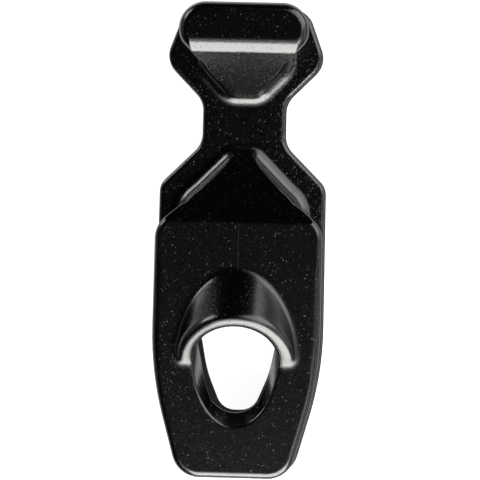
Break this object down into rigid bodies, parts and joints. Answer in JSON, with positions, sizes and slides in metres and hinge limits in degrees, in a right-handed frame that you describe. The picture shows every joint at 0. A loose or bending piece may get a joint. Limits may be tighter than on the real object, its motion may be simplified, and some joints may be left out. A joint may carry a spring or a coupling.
{
  "type": "cleat horn",
  "caption": "Moulded horn cleat with a T-shaped upper horn, a broad lower horn, and a hooded line exit that leads a rope out through the lower horn.",
  "frame": {"origin": "the middle of the mounting face, midway along and across the whole cleat, at the surface that it is screwed to", "axes": "+Z out of the mounting face, towards the person who ties the line; +Y along the cleat, from the lower horn to the upper horn; +X to the right, seen from the front"},
  "size_m": [0.0366, 0.102, 0.0231],
  "materials": {
    "moulding": "black glass-filled nylon, semi-gloss, with a fine spark-eroded mould grain",
    "insert": "machined and knurled brass"
  },
  "bodies": {
    "root": {"cleat_body": "moulding", "upper_insert": "insert", "lower_insert": "insert"}
  },
  "joints": []
}
